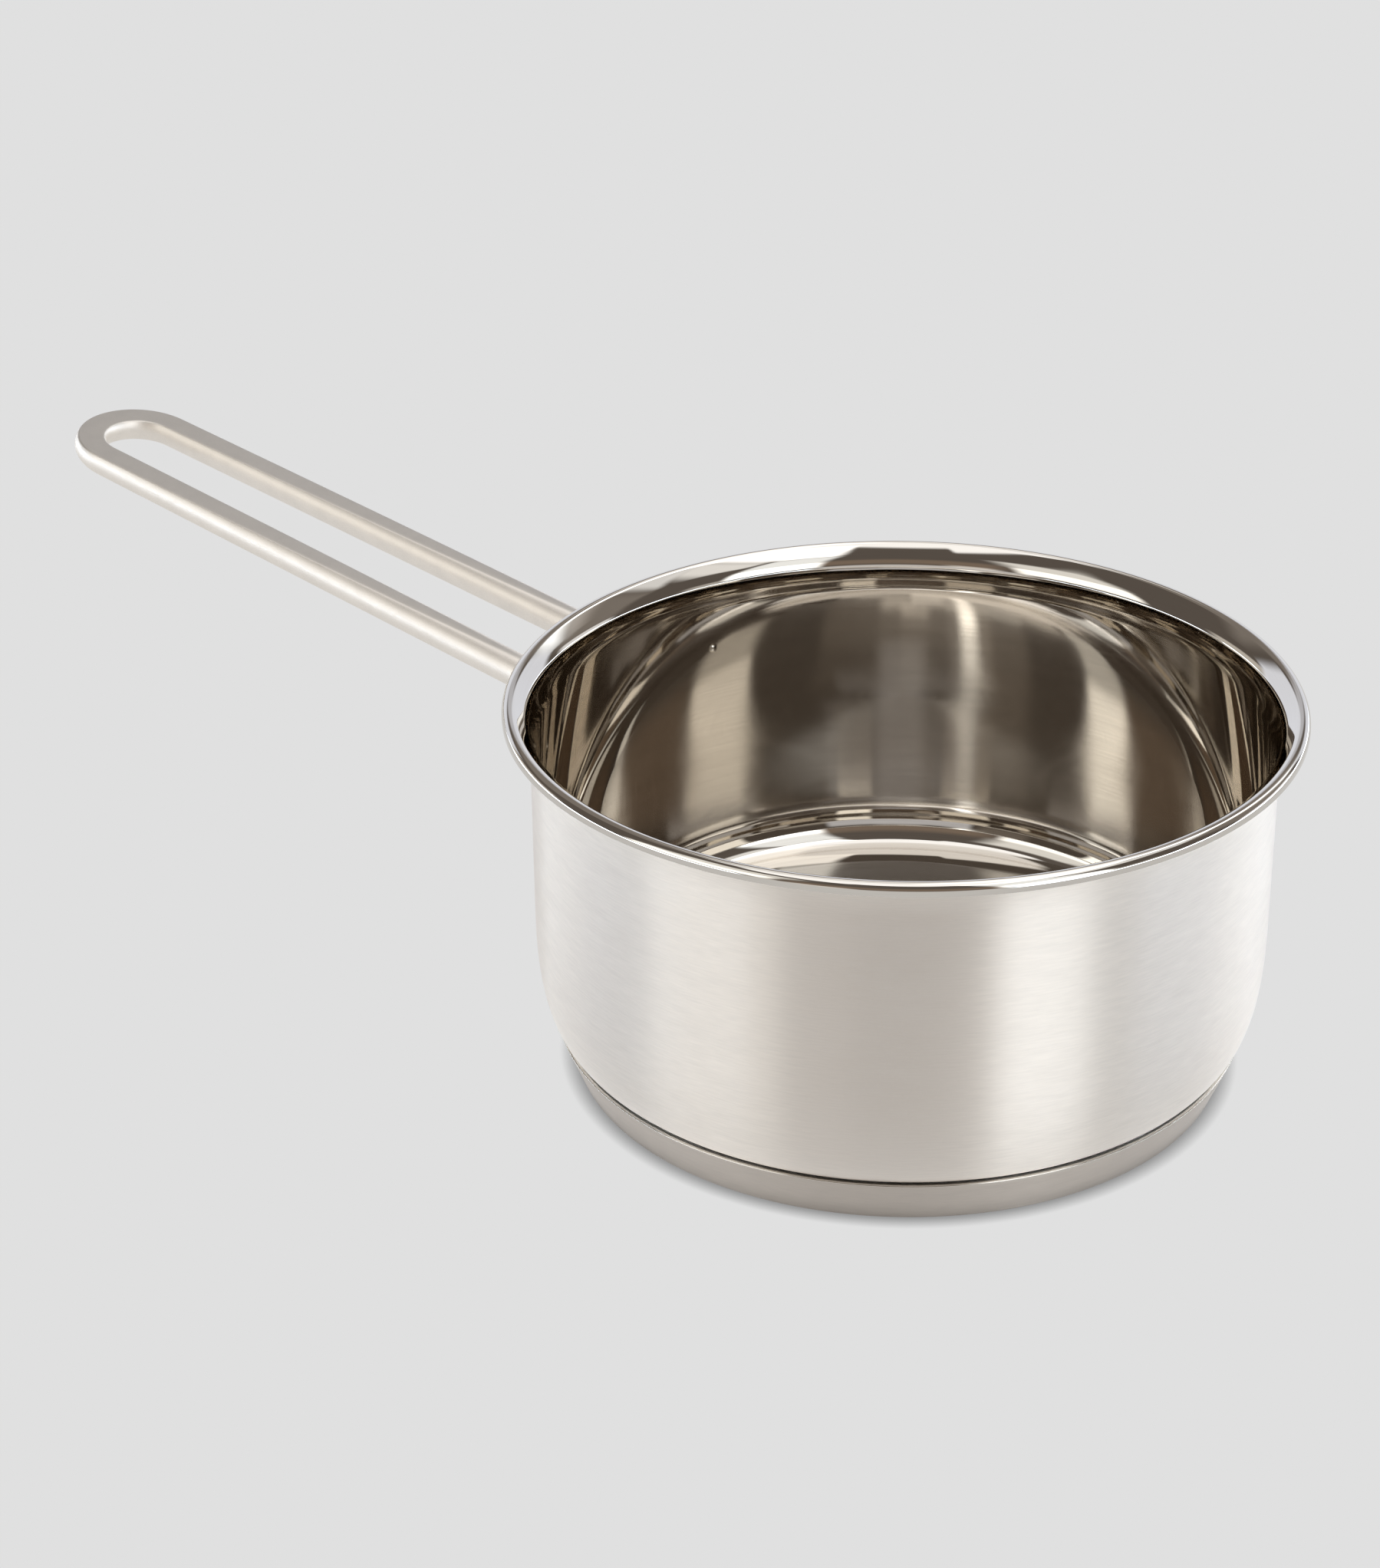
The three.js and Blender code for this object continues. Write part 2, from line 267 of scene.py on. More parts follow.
corner_signs = ((-1, -1), (1, -1), (1, 1), (-1, 1))
floor_corners = [(x * floor_half, y * floor_half, -floor_drop) for x, y in corner_signs]
floor_mesh = bpy.data.meshes.new("floor")
floor_mesh.from_pydata(floor_corners, [], [(0, 1, 2, 3)])
floor = add_object("floor", floor_mesh)

floor_paint = bpy.data.materials.new("pale_floor")
paint = empty_tree(floor_paint)
occlusion = paint.add("ShaderNodeAmbientOcclusion", {"Distance": shadow_reach}, samples=shadow_samples)
shade = paint.remap(occlusion.outputs["AO"], most_hidden, least_hidden, darkest_shade, 1.0, smooth=False)
pale = paint.add("ShaderNodeEmission", {"Color": backdrop, "Strength": shade}).outputs[0]
matt = paint.add("ShaderNodeBsdfDiffuse", {"Color": matt_grey}).outputs[0]
rays = paint.add("ShaderNodeLightPath")
shown = paint.math("ADD", rays.outputs["Is Camera Ray"], rays.outputs["Is Glossy Ray"])
shown = paint.math("MINIMUM", paint.math("ADD", shown, rays.outputs["Is Transmission Ray"]), 1.0)
surface = paint.add("ShaderNodeMixShader", {0: shown, 1: matt, 2: pale}).outputs[0]
clear = paint.add("ShaderNodeBsdfTransparent").outputs[0]
from_below = paint.add("ShaderNodeNewGeometry").outputs["Backfacing"]
one_sided = paint.add("ShaderNodeMixShader", {0: from_below, 1: surface, 2: clear}).outputs[0]
paint.add("ShaderNodeOutputMaterial", {"Surface": one_sided})
floor_paint.cycles.emission_sampling = "NONE"  # the glow is only seen, it isn't a lamp
floor_mesh.materials.append(floor_paint)
print("floor nodes:", len(floor_paint.node_tree.nodes))

# %% [markdown]
# ## Steel finishes
# All the steel starts from one colour, a grey that is a little warm, and differs in how it was
# worked. The outside and the handle get brighter copies of that colour, which are painted
# light, and the base cap a darker copy, which is painted shade. Brushing leaves fine grooves
# in one direction. The reflection smears across the grooves, which the shader calls
# anisotropy, and each groove catches the light a little differently, which a noise stretched
# along the grooves imitates. On the turned pieces the grooves run round the axis, so the
# stretched noise reads the place along the outline, which is kept on the mesh as an
# attribute called outline_place.

# %% Steel helper
steel_tint = (0.66, 0.625, 0.575, 1.0)
noise_low, noise_high = 0.3, 0.7  # most of a noise's values fall between these two


def new_finish(name):
    finish = bpy.data.materials.new(name)
    return finish, empty_tree(finish)


def steel_shader(nodes, inputs):
    """Ends a finish: a bare metal surface with these inputs."""
    shader = nodes.add("ShaderNodeBsdfPrincipled", {"Metallic": 1.0, **inputs})
    nodes.add("ShaderNodeOutputMaterial", {"Surface": shader.outputs[0]})


def bump_of(nodes, height, depth):
    return nodes.add("ShaderNodeBump", {"Height": height, "Strength": 1.0, "Distance": depth}).outputs[0]


# %% [markdown]
# ## Turned finishes
# Five finishes are turned: the satin outside, the near-mirror inside, the polished rim, the
# pan's bottom with its wheel rings, and the duller base cap. The outside's colour is painted
# brighter and the cap's darker, which are painted light and painted shade. Each has a fine
# noise for the grooves and a broader one for their uneven look. Both change the colour and
# the roughness a little, and the fine one also makes a bump as deep as the grooves.

# %% Turned finishes
fine_share, broad_share = 0.65, 0.35
broad_along, broad_across, broad_detail = 0.4, 0.12, 2.0
across_the_grooves = 0.25  # a quarter of a turn of the shader's tangent
# painted light: the outside's colour is a brighter copy of the steel's, for the brighter things it reflects
painted_light_outside_tint = (0.915, 0.86, 0.795, 1.0)
# painted shade: the base cap's colour is a darker copy of the steel's
painted_shade_cap_tint = (0.58, 0.53, 0.48, 1.0)


def groove_noise(nodes, along, across, detail=3.0):
    """Noise with long streaks round the axis: slow in X and Y, quick along the outline."""
    place = nodes.add("ShaderNodeTexCoord").outputs["Object"]
    parts = nodes.add("ShaderNodeSeparateXYZ", {0: place}).outputs
    outline = nodes.add("ShaderNodeAttribute", attribute_name="outline_place").outputs["Fac"]
    scaled = [nodes.math("MULTIPLY", parts[0], along), nodes.math("MULTIPLY", parts[1], along),
              nodes.math("MULTIPLY", outline, across)]
    stretched = nodes.add("ShaderNodeCombineXYZ", dict(enumerate(scaled))).outputs[0]
    inputs = {"Vector": stretched, "Scale": 1.0, "Detail": detail}
    return nodes.add("ShaderNodeTexNoise", inputs).outputs["Fac"]


def turned_finish(name, tint, roughness, spread, anisotropy, streak, along, across, groove_depth):
    """Steel brushed round the axis. Along and across say how quickly the noise changes, per metre."""
    finish, nodes = new_finish(name)
    fine = groove_noise(nodes, along, across)
    broad = groove_noise(nodes, along * broad_along, across * broad_across, broad_detail)
    both = nodes.blend(fine, fine_share, broad, broad_share)
    level = nodes.remap(both, noise_low, noise_high, 1.0 - streak, 1.0 + streak, smooth=False)
    rough = nodes.remap(both, noise_low, noise_high, roughness - spread, roughness + spread, smooth=False)
    round_axis = nodes.add("ShaderNodeTangent", direction_type="RADIAL", axis="Z").outputs[0]
    steel_shader(nodes, {
        "Base Color": nodes.vector("MULTIPLY", tint[:3], level), "Roughness": rough,
        "Anisotropic": anisotropy, "Anisotropic Rotation": across_the_grooves,
        "Normal": bump_of(nodes, fine, groove_depth), "Tangent": round_axis,
    })
    return finish


outside_satin = turned_finish(
    "outside_satin", painted_light_outside_tint, roughness=0.40, spread=0.03, anisotropy=1.0,
    streak=0.05, along=200.0, across=3000.0, groove_depth=0.0015 * mm,
)
inside_polish = turned_finish(
    "inside_polish", steel_tint, roughness=0.03, spread=0.008, anisotropy=0.9,
    streak=0.06, along=60.0, across=2400.0, groove_depth=0.00003 * mm,
)
lip_polish = turned_finish(
    "lip_polish", steel_tint, roughness=0.03, spread=0.008, anisotropy=0.3,
    streak=0.02, along=60.0, across=2400.0, groove_depth=0.0001 * mm,
)
floor_polish = turned_finish(
    "floor_polish", steel_tint, roughness=0.22, spread=0.03, anisotropy=0.9,
    streak=0.05, along=60.0, across=3000.0, groove_depth=0.0008 * mm,
)
cap_satin = turned_finish(
    "cap_satin", painted_shade_cap_tint, roughness=0.46, spread=0.03, anisotropy=0.8,
    streak=0.05, along=220.0, across=2200.0, groove_depth=0.0015 * mm,
)
turned_finishes = (outside_satin, inside_polish, lip_polish, floor_polish, cap_satin)
print("turned finishes:", [finish.name for finish in turned_finishes])

# %% [markdown]
# ## Blasted finishes
# The handle was blasted, which leaves a fine even grain with no direction, and its top was
# ground afterwards, which leaves it calmer and smoother. The ground top is also painted a
# little darker, a painted shade, and the handle's colour is a brighter copy of the steel's,
# a painted light. Two attributes on the rod's mesh tell the finish where: ground_share is 1
# on the ground flat, and rod_reach is the distance from the wall. The plate, the welds and
# the sealed disc use it too.

# %% Blasted finishes
grain_share, patch_share = 0.6, 0.4
grains_in_patch, grain_detail = 14, 2.0
darkest_grain, lightest_grain = 0.94, 1.05
smoother_grain, rougher_grain = 0.03, 0.05
# the first number darkens the ground top's colour, a painted shade
painted_top_shade, ground_polish, ground_grain = 0.62, 0.08, 0.35
calm_reach, calm_grain = 0.11, 0.45


def rod_finish(name, tint, roughness, grain_size, grain_depth):
    """Steel with a fine blasted grain, calmer and smoother where it was ground, and painted darker there, a
    painted shade.
    """
    finish, nodes = new_finish(name)
    place = nodes.add("ShaderNodeTexCoord").outputs["Object"]
    inputs = {"Vector": place, "Scale": 1 / grain_size, "Detail": grain_detail}
    grain = nodes.add("ShaderNodeTexNoise", inputs).outputs["Fac"]
    inputs["Scale"] = 1 / (grains_in_patch * grain_size)
    patches = nodes.add("ShaderNodeTexNoise", inputs).outputs["Fac"]
    ground = nodes.add("ShaderNodeAttribute", attribute_name="ground_share").outputs["Fac"]
    reach = nodes.add("ShaderNodeAttribute", attribute_name="rod_reach").outputs["Fac"]
    both = nodes.blend(grain, grain_share, patches, patch_share)
    level = nodes.remap(both, noise_low, noise_high, darkest_grain, lightest_grain, smooth=False)
    # painted shade: the ground top's colour is made darker
    level = nodes.math("MULTIPLY", level, nodes.remap(ground, 0.0, 1.0, 1.0, painted_top_shade))
    smoothest, roughest = roughness - smoother_grain, roughness + rougher_grain
    rough = nodes.remap(grain, noise_low, noise_high, smoothest, roughest, smooth=False)
    rough = nodes.math("SUBTRACT", rough, nodes.math("MULTIPLY", ground, ground_polish))
    coarse = nodes.remap(reach, 0.0, calm_reach, 1.0, calm_grain)
    depth = nodes.math("MULTIPLY", nodes.remap(ground, 0.0, 1.0, 1.0, ground_grain), coarse)
    height = nodes.math("MULTIPLY", grain, depth)
    steel_shader(nodes, {
        "Base Color": nodes.vector("MULTIPLY", tint[:3], level), "Roughness": rough,
        "Normal": bump_of(nodes, height, grain_depth),
    })
    return finish


# painted light: the handle's colour is a brighter copy of the steel's
handle_satin = rod_finish(
    "handle_satin", (0.86, 0.81, 0.745, 1.0), roughness=0.50, grain_size=0.3 * mm, grain_depth=0.012 * mm
)
plate_satin = rod_finish(
    "plate_satin", steel_tint, roughness=0.34, grain_size=0.3 * mm, grain_depth=0.012 * mm
)
weld_metal = rod_finish(
    "weld_metal", (0.56, 0.53, 0.49, 1.0), roughness=0.42, grain_size=0.5 * mm, grain_depth=0.05 * mm
)
core_metal = rod_finish(
    "core_metal", (0.80, 0.81, 0.82, 1.0), roughness=0.45, grain_size=0.6 * mm, grain_depth=0.02 * mm
)
print("blasted finishes:", [f.name for f in (handle_satin, plate_satin, weld_metal, core_metal)])

# %% [markdown]
# ## Turned pieces
# The vessel and the base cap are solids of revolution: one outline spun about Z. Blender's
# Spin or Screw could do it. Here a geometry node tree does: a grid is laid out with one
# column for each step round the axis and one row for each point of the outline, every
# vertex then takes its radius and height from its row and its angle from its column, and
# merging closes the seam and the poles. The outline can be as fine as a mirror needs.


# %% Geometry tree helpers
def socket_id(tree, name):
    """The identifier of a tree's named input, which a modifier is set by."""
    return next(i.identifier for i in tree.interface.items_tree if i.name == name and i.in_out == "INPUT")


def new_geometry_tree(name, named_inputs):
    tree = bpy.data.node_groups.new(name, "GeometryNodeTree")
    tree.interface.new_socket("Geometry", in_out="INPUT", socket_type="NodeSocketGeometry")
    for label, kind, value in named_inputs:
        socket = tree.interface.new_socket(label, in_out="INPUT", socket_type=kind)
        if value is not None:
            socket.default_value = value
    tree.interface.new_socket("Geometry", in_out="OUTPUT", socket_type="NodeSocketGeometry")
    return tree, Tree(tree)


def store(nodes, geometry, name, value):
    """Keeps a number for each vertex under a name, for the finishes to read."""
    inputs = {"Geometry": geometry, "Name": name, "Value": value}
    return nodes.add("GeometryNodeStoreNamedAttribute", inputs, data_type="FLOAT", domain="POINT").outputs[0]


def end_geometry_tree(nodes, geometry, finish):
    smooth = nodes.add("GeometryNodeSetShadeSmooth", {"Geometry": geometry}).outputs[0]
    real = nodes.add("GeometryNodeRealizeInstances", {0: smooth}).outputs[0]
    done = nodes.add("GeometryNodeSetMaterial", {"Geometry": real, "Material": finish}).outputs[0]
    nodes.add("NodeGroupOutput", {0: done})


def run_tree(name, source_mesh, tree, settings):
    """A plain object that holds what the tree makes of the source mesh."""
    maker = add_object(name + "_maker", source_mesh)
    modifier = maker.modifiers.new("maker", "NODES")
    modifier.node_group = tree
    for label, value in settings.items():
        modifier[socket_id(tree, label)] = value
    ready = maker.evaluated_get(bpy.context.evaluated_depsgraph_get())
    mesh = bpy.data.meshes.new_from_object(ready)
    bpy.data.objects.remove(maker)
    mesh.name = name
    mesh.materials.clear()
    mesh.materials.append(settings["Finish"])
    mesh.polygons.foreach_set("material_index", [0] * len(mesh.polygons))
    return add_object(name, mesh)


# %% Turning tree
def make_turning_tree():
    tree, nodes = new_geometry_tree(
        "turned_outline",
        [
            ("Sides", "NodeSocketInt", 64),
            ("Merge Distance", "NodeSocketFloat", 0.001 * mm),
            ("Finish", "NodeSocketMaterial", None),
        ],
    )
    given = nodes.add("NodeGroupInput").outputs
    counted = nodes.add("GeometryNodeAttributeDomainSize", {"Geometry": given["Geometry"]})
    rows = counted.outputs["Point Count"]
    columns = nodes.math("ADD", given["Sides"], 1.0)
    grid = nodes.add("GeometryNodeMeshGrid", {"Vertices X": columns, "Vertices Y": rows}).outputs["Mesh"]
    index = nodes.add("GeometryNodeInputIndex").outputs[0]
    column = nodes.math("FLOOR", nodes.math("DIVIDE", nodes.math("ADD", index, 0.5), rows))
    row = nodes.math("SUBTRACT", index, nodes.math("MULTIPLY", column, rows))
    angle = nodes.math("DIVIDE", nodes.math("MULTIPLY", column, math.tau), given["Sides"])

    def of_row(value, kind):
        """The value that the outline's point of the same row has."""
        inputs = {"Geometry": given["Geometry"], "Value": value, "Index": row}
        return nodes.add("GeometryNodeSampleIndex", inputs, data_type=kind).outputs[0]

    outline = of_row(nodes.add("GeometryNodeInputPosition").outputs[0], "FLOAT_VECTOR")
    radius, _, level = nodes.add("ShaderNodeSeparateXYZ", {0: outline}).outputs
    out_x = nodes.math("MULTIPLY", radius, nodes.math("COSINE", angle))
    out_y = nodes.math("MULTIPLY", radius, nodes.math("SINE", angle))
    spun = nodes.add("ShaderNodeCombineXYZ", {0: out_x, 1: out_y, 2: level}).outputs[0]
    placed = nodes.add("GeometryNodeSetPosition", {"Geometry": grid, "Position": spun}).outputs[0]
    along = nodes.add("GeometryNodeInputNamedAttribute", {"Name": "outline_place"}, data_type="FLOAT")
    kept = store(nodes, placed, "outline_place", of_row(along.outputs[0], "FLOAT"))
    closing = {"Geometry": kept, "Distance": given["Merge Distance"]}
    merged = nodes.add("GeometryNodeMergeByDistance", closing).outputs[0]
    end_geometry_tree(nodes, merged, given["Finish"])
    return tree


turning_tree = make_turning_tree()
turning_steps = 288
print("turning nodes:", len(turning_tree.nodes))


# %% Turning a piece
def face_outwards(mesh):
    """Turns the faces of a closed mesh outwards and returns its volume in cubic millimetres."""
    shell = bmesh.new()
    shell.from_mesh(mesh)
    volume = shell.calc_volume(signed=True)
    if volume < 0:
        bmesh.ops.reverse_faces(shell, faces=shell.faces)
    shell.to_mesh(mesh)
    shell.free()
    return abs(volume) / mm**3


def turn_piece(name, outline, sides, finishes, borders):
    """Spins an outline of (radius, height) pairs in mm. Borders are the places where the finish changes."""
    source = bpy.data.meshes.new(name + "_outline")
    points = [(radius * mm, 0.0, level * mm) for radius, level in outline]
    source.from_pydata(points, [(i, i + 1) for i in range(len(points) - 1)], [])
    places = [0.0]
    for first, second in zip(points, points[1:]):
        places.append(places[-1] + math.dist(first, second))
    source.attributes.new("outline_place", "FLOAT", "POINT").data.foreach_set("value", places)
    piece = run_tree(name, source, turning_tree, {"Sides": sides, "Finish": finishes[0]})
    volume = face_outwards(piece.data)
    for finish in finishes[1:]:
        piece.data.materials.append(finish)
    limits = [places[i] for i in borders]
    values = [item.value for item in piece.data.attributes["outline_place"].data]
    for face in piece.data.polygons:
        middle = sum(values[v] for v in face.vertices) / len(face.vertices)
        face.material_index = sum(middle > limit for limit in limits)
    print(name, len(piece.data.polygons), "faces,", round(volume), "mm3")
    return piece


# %% [markdown]
# ## The vessel
# Deep drawing gives the vessel a flat bottom, a soft corner that eases into the wall, and
# a rim that flares out and curls down, so that it pours without dripping. The corner is a
# quarter of a superellipse. The rim is a chain of five bends, because each shows another
# part of the room: a slow flare, a tight shoulder, a nearly flat face, a round brow and
# the edge that turns down. The inside is polished, the bottom keeps rings from the
# polishing wheel, and the outside is brushed.

# %% Vessel sizes
inner_radius, wall_sheet, floor_sheet, floor_underside = 80.0, 0.8, 0.9, 9.8
corner_width, corner_top, corner_power = 9.0, 38.0, 2.6
flare_start, curl_level, curl_sheet = 75.8, 83.8, 0.8
bottom_steps, corner_steps, wall_steps, skirt_steps, underside_steps = 12, 44, 14, 3, 4
# Each bend of the rim: its radius, the angle that its surface faces at its end, and its steps
rim_bends = ((27.0, 12.8, 16), (5.0, 45.0, 22), (30.0, 49.5, 8), (1.9, 90.0, 16), (1.76, 180.0, 24))
hem_chamfer, hem_drop, hollow_height, hollow_top, hollow_slant = 0.1, 0.08, 1.3, 1.75, 0.3
face_steps_behind = 5  # the back of the sheet follows the face only this far
outer_radius = inner_radius + wall_sheet
floor_top = floor_underside + floor_sheet
floor_radius = outer_radius - corner_width
print("outer radius, mm:", outer_radius, "bottom's radius, mm:", floor_radius)


# %% Outline helpers
def arc(centre, radius, start, end, steps):
    angles = [start + (end - start) * i / steps for i in range(steps + 1)]
    return [(centre[0] + radius * math.cos(a), centre[1] + radius * math.sin(a)) for a in angles]


def bend(start, radius, first, last, steps):
    """A bend of the rim. The angles, in degrees, say how far up the surface faces."""
    points = []
    for i in range(steps + 1):
        begin, now = math.radians(first), math.radians(first + (last - first) * i / steps)
        out, up = math.cos(begin) - math.cos(now), math.sin(now) - math.sin(begin)
        points.append((start[0] + radius * out, start[1] + radius * up))
    return points


def line(start, end, steps):
    """The points between two ends, without the ends."""
    shares = [i / steps for i in range(1, steps)]
    return [(start[0] + (end[0] - start[0]) * s, start[1] + (end[1] - start[1]) * s) for s in shares]


def corner(width, foot):
    """The quarter superellipse from the bottom up to the wall."""
    points = []
    for i in range(corner_steps + 1):
        angle = quarter * i / corner_steps
        out = width * math.sin(angle) ** (2 / corner_power)
        down = (corner_top - foot) * math.cos(angle) ** (2 / corner_power)
        points.append((floor_radius + out, corner_top - down))
    return points


def sheet_behind(points):
    """The back of the sheet, one thickness behind these points of its front."""
    behind = []
    for i, (radius, level) in enumerate(points):
        before, after = points[max(i - 1, 0)], points[min(i + 1, len(points) - 1)]
        slope = math.atan2(after[0] - before[0], after[1] - before[1])
        behind.append((radius + wall_sheet * math.cos(slope), level - wall_sheet * math.sin(slope)))
    return behind


# %% Vessel
def rim_chain():
    """The rim's five bends, each from where the last one ended."""
    bends, start, facing = [], (inner_radius, flare_start), 0.0
    for radius, next_facing, steps in rim_bends:
        bends.append(bend(start, radius, facing, next_facing, steps))
        start, facing = bends[-1][-1], next_facing
    return bends


def vessel_outline():
    inside = corner(inner_radius - floor_radius, floor_top)
    outside = corner(corner_width, floor_underside)
    flare, shoulder, face, brow, edge = rim_chain()
    edge_radius = edge[-1][0]
    skirt_foot = (edge_radius, curl_level)
    skirt = [edge[-1], *line(edge[-1], skirt_foot, skirt_steps), skirt_foot]
    rim = flare + shoulder[1:] + face[1:] + brow[1:] + edge[1:-1] + skirt
    # The back of the sheet runs from the skirt's foot up into the hollow and down to the wall
    inner_edge = edge_radius - curl_sheet
    hollow = [
        (edge_radius - hem_chamfer, curl_level - hem_drop),
        (inner_edge + hem_chamfer, curl_level - hem_drop),
        (inner_edge, curl_level),
        (inner_edge, curl_level + hollow_height),
        (inner_edge - hollow_slant, curl_level + hollow_top),
    ]
    behind = sheet_behind(flare + shoulder[1:-1]) + sheet_behind(face[:face_steps_behind])
    parts = {
        "floor": [(0.0, floor_top), *line((0.0, floor_top), inside[0], bottom_steps)],
        "corner": inside + line(inside[-1], flare[0], wall_steps),
        "lip": rim,
        "outside": hollow + behind[::-1] + line(behind[0], outside[-1], wall_steps) + outside[::-1],
        "underneath": [*line(outside[0], (0.0, floor_underside), underside_steps), (0.0, floor_underside)],
    }
    outline, borders = [], []
    for points in parts.values():
        outline += points
        borders.append(len(outline) - 1)
    return outline, borders[:-2]


vessel_points, vessel_borders = vessel_outline()
vessel_finishes = [floor_polish, inside_polish, lip_polish, outside_satin]
vessel = turn_piece("pan_body_shell", vessel_points, turning_steps, vessel_finishes, vessel_borders)
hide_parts("pan_body")
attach(vessel, "root")

# %% [markdown]
# ## The base cap
# A steel dish is pressed round the disc that spreads the heat. Its side tapers, its foot is
# rounded, and a narrow ledge at its top nearly meets the vessel, which leaves the fine dark
# groove of the real pan. The cap's height is worked out from the vessel's corner, so that
# the groove keeps its width. The side is satin and the ledge above it is polished.

# %% Base cap
cap_inset, cap_taper, cap_sheet = 4.2, 4.1, 0.8
cap_fillet, cap_chamfer, cap_ledge, cap_ledge_sheet = 0.7, 0.2, 1.3, 0.5
cap_gap, cap_fillet_steps, cap_side_steps = 0.26, 8, 10
cap_top = outer_radius - cap_inset
cap_bottom = cap_top - cap_taper


def underside_level(radius):
    """How high the vessel's corner is over the table, at a radius."""
    across = max(radius - floor_radius, 0.0) / corner_width
    return corner_top - (corner_top - floor_underside) * (1 - across**corner_power) ** (1 / corner_power)


cap_height = underside_level(cap_top - cap_ledge) - cap_gap


def cap_side(level):
    return cap_bottom + cap_taper * level / cap_height


def cap_outline():
    ledge_under = cap_height - cap_ledge_sheet
    inner_turn = cap_sheet + cap_fillet
    underside = [(0.0, 0.0), *line((0.0, 0.0), (cap_bottom - cap_fillet, 0.0), bottom_steps)]
    fillet = arc((cap_bottom - cap_fillet, cap_fillet), cap_fillet, -quarter, 0.0, cap_fillet_steps)
    shoulder = (cap_side(cap_height - cap_chamfer), cap_height - cap_chamfer)
    side_wall = [*line(fillet[-1], shoulder, cap_side_steps), shoulder]
    top = [
        (cap_top - cap_chamfer, cap_height),
        (cap_top - cap_ledge, cap_height),
        (cap_top - cap_ledge, ledge_under),
        (cap_side(ledge_under) - cap_sheet, ledge_under),
        (cap_side(inner_turn) - cap_sheet, inner_turn),
        (cap_side(inner_turn) - cap_sheet - cap_fillet, cap_sheet),
        (0.0, cap_sheet),
    ]
    outline = underside + fillet + side_wall + top
    return outline, [len(underside) + len(fillet) + len(side_wall) - 1]


cap_points, cap_borders = cap_outline()
cap = turn_piece("base_cap_dish", cap_points, turning_steps, [cap_satin, lip_polish], cap_borders)
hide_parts("base_cap")
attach(cap, "root")

# %% [markdown]
# ## The handle
# One round rod is bent into a long loop, and its top is ground to a flat that is shallow
# at the pan and deeper at the far end. A curve with a bevel would give a round rod only.
# A second node tree sweeps a ring along the loop instead, keeps for every vertex the centre
# it belongs to, and then sets how far the vertex lies from that centre: the rod's radius,
# or less where the flat cuts in. A smooth minimum of the two rounds the ground edge, and
# more vertices stand near the edge, so that it stays crisp.

# %% Grinding helpers
rod_radius, handle_length, rod_sides = 3.92, 163.0, 96
flat_at_wall, flat_at_tip, edge_rounding = 4.09, 2.26, 0.5
top_share, top_crowding, round_crowding = 0.34, 1.7, 1.5
least_edge_angle, least_cosine = math.radians(7), 0.05
ground_fade = 0.12 * mm


def capture(nodes, geometry, value, kind):
    """Keeps a value on a geometry, to be read after the geometry has changed."""
    node = nodes.add("GeometryNodeCaptureAttribute", {"Geometry": geometry})
    node.capture_items.new(kind, "kept")
    nodes.tree.links.new(value, node.inputs[1])
    return node.outputs["Geometry"], node.outputs[1]


def angle_from_top(nodes, turn, flat, rod_radius_socket):
    """Where a vertex of the ring goes: a share of the ring spans the flat, and the rest the round."""
    steepness = nodes.math("DIVIDE", flat, rod_radius_socket)
    edge = nodes.math("ARCCOSINE", nodes.math("MINIMUM", steepness, math.cos(least_edge_angle)))
    signed = nodes.math("SUBTRACT", nodes.math("MULTIPLY", turn, 2.0), 1.0)
    far = nodes.math("ABSOLUTE", signed)
    on_top = nodes.math("MINIMUM", nodes.math("DIVIDE", far, top_share), 1.0)
    on_top = nodes.math("POWER", nodes.math("SUBTRACT", 1.0, on_top), top_crowding)
    on_top = nodes.math("SUBTRACT", 1.0, on_top)
    below = nodes.math("MAXIMUM", nodes.math("SUBTRACT", far, top_share), 0.0)
    below = nodes.math("POWER", nodes.math("DIVIDE", below, 1.0 - top_share), round_crowding)
    round_part = nodes.math("MULTIPLY", below, nodes.math("SUBTRACT", math.pi, edge))
    angle = nodes.math("ADD", nodes.math("MULTIPLY", on_top, edge), round_part)
    return nodes.math("MULTIPLY", angle, nodes.math("SIGN", signed))


